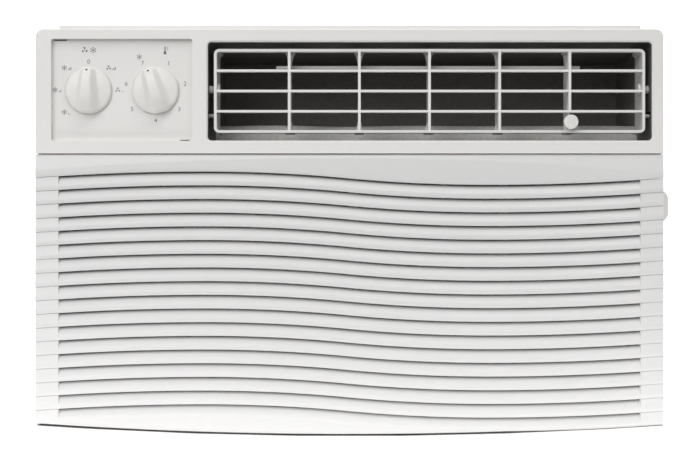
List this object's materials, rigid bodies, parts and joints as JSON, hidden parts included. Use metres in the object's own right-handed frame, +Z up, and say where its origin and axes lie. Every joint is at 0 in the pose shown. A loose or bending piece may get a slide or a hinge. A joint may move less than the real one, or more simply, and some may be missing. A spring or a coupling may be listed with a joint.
{
  "type": "window air conditioner",
  "caption": "Compact window air conditioner with wavy intake grille, tilting louvre, swinging vanes, rotary controls, side-sliding filter and full refrigeration internals.",
  "frame": {"origin": "on the underside of the middle runner, at the middle of the cabinet's width and depth", "axes": "+X to the right as seen from the room, +Y from the room to the outside, +Z up"},
  "size_m": [0.4794, 0.4078, 0.3185],
  "materials": {
    "bezel_plastic": "fine satin texture",
    "grille_plastic": "fine satin texture",
    "knob_plastic": "satin",
    "louvre_plastic": "satin",
    "dark_plastic": "matte",
    "eps_foam": "moulded foam",
    "light_foam": "moulded foam",
    "painted_steel": "baked enamel",
    "galvanised_steel": "spangled zinc",
    "fin_aluminium": "thin fins",
    "copper": "drawn tube",
    "black_enamel": "gloss enamel",
    "rubber": "matte",
    "zinc_screw": "zinc plated",
    "filter_net": "woven net",
    "can_aluminium": "drawn can",
    "control_plastic": "moulded"
  },
  "bodies": {
    "root": {"front_bezel": "bezel_plastic", "control_panel": "bezel_plastic", "intake_grille": "grille_plastic", "outlet_collar": "dark_plastic", "inlet_ring": "dark_plastic", "filter_tracks": "dark_plastic", "drain_tray": "dark_plastic", "discharge_duct": "eps_foam", "blower_housing": "eps_foam", "air_seal": "eps_foam", "duct_lip": "light_foam", "cabinet_wrapper": "painted_steel", "rear_guard": "painted_steel", "top_rail": "painted_steel", "base_pan": "painted_steel", "bulkhead": "galvanised_steel", "motor_bracket": "galvanised_steel", "condenser_shroud": "galvanised_steel", "control_box": "galvanised_steel", "evaporator_end_plates": "galvanised_steel", "condenser_end_plates": "galvanised_steel", "evaporator_fins": "fin_aluminium", "condenser_fins": "fin_aluminium", "evaporator_tubes": "copper", "condenser_tubes": "copper", "discharge_line": "copper", "suction_line": "copper", "liquid_line": "copper", "capillary_tube": "copper", "filter_drier": "copper", "thermostat_bulb": "copper", "compressor": "black_enamel", "accumulator": "black_enamel", "fan_motor": "black_enamel", "compressor_grommets": "rubber", "cord_grommet": "rubber", "cabinet_screws": "zinc_screw", "bezel_screws": "zinc_screw", "compressor_bolts": "zinc_screw", "run_capacitor": "can_aluminium", "mode_switch": "control_plastic", "thermostat": "control_plastic"},
    "louvre": {"louvre_frame": "louvre_plastic", "louvre_pivots": "louvre_plastic"},
    "vane_link": {"vane_link": "louvre_plastic"},
    "mode_knob": {"mode_knob": "knob_plastic", "switch_shaft": "galvanised_steel"},
    "temp_knob": {"temp_knob": "knob_plastic", "thermostat_shaft": "galvanised_steel"},
    "filter": {"filter_frame": "louvre_plastic", "filter_mesh": "filter_net"},
    "rotor": {"motor_shaft": "galvanised_steel", "blower_wheel": "dark_plastic", "condenser_fan": "dark_plastic"},
    "vane_1": {"vane_1": "louvre_plastic"},
    "vane_2": {"vane_2": "louvre_plastic"},
    "vane_3": {"vane_3": "louvre_plastic"},
    "vane_4": {"vane_4": "louvre_plastic"},
    "vane_5": {"vane_5": "louvre_plastic", "vane_tab": "louvre_plastic"}
  },
  "joints": [
    {"name": "louvre_tilt", "type": "hinge", "parent": "root", "child": "louvre", "pos_m": [0.0601, -0.1848, 0.26205], "axis": [1, 0, 0], "range_deg": [-20, 20]},
    {"name": "vane_5_swing", "type": "hinge", "parent": "louvre", "child": "vane_5", "pos_m": [0.1655, -0.179, 0.26205], "axis": [0, 0, 1], "range_deg": [-35, 35]},
    {"name": "vane_1_swing", "type": "hinge", "parent": "louvre", "child": "vane_1", "pos_m": [-0.0453, -0.179, 0.26205], "axis": [0, 0, 1], "range_deg": [-35, 35]},
    {"name": "vane_2_swing", "type": "hinge", "parent": "louvre", "child": "vane_2", "pos_m": [0.0074, -0.179, 0.26205], "axis": [0, 0, 1], "range_deg": [-35, 35]},
    {"name": "vane_3_swing", "type": "hinge", "parent": "louvre", "child": "vane_3", "pos_m": [0.0601, -0.179, 0.26205], "axis": [0, 0, 1], "range_deg": [-35, 35]},
    {"name": "vane_4_swing", "type": "hinge", "parent": "louvre", "child": "vane_4", "pos_m": [0.1128, -0.179, 0.26205], "axis": [0, 0, 1], "range_deg": [-35, 35]},
    {"name": "link_swing", "type": "hinge", "parent": "vane_5", "child": "vane_link", "pos_m": [0.1655, -0.173, 0.2803], "axis": [0, 0, 1], "range_deg": [-35, 35]},
    {"name": "mode_turn", "type": "hinge", "parent": "root", "child": "mode_knob", "pos_m": [-0.1957, -0.196, 0.2602], "axis": [0, 1, 0], "range_deg": [-135, 90]},
    {"name": "temp_turn", "type": "hinge", "parent": "root", "child": "temp_knob", "pos_m": [-0.1454, -0.196, 0.2602], "axis": [0, 1, 0], "range_deg": [-316, 0]},
    {"name": "filter_slide", "type": "slide", "parent": "root", "child": "filter", "axis": [1, 0, 0], "range_m": [0, 0.44]},
    {"name": "rotor_spin", "type": "hinge", "parent": "root", "child": "rotor", "pos_m": [0.05, -0.02, 0.12205], "axis": [0, 1, 0], "continuous": true}
  ],
  "couplings": [
    {"joint": "vane_1_swing", "follows": "vane_5_swing", "ratio": 1},
    {"joint": "vane_2_swing", "follows": "vane_5_swing", "ratio": 1},
    {"joint": "vane_3_swing", "follows": "vane_5_swing", "ratio": 1},
    {"joint": "vane_4_swing", "follows": "vane_5_swing", "ratio": 1},
    {"joint": "link_swing", "follows": "vane_5_swing", "ratio": -1}
  ]
}
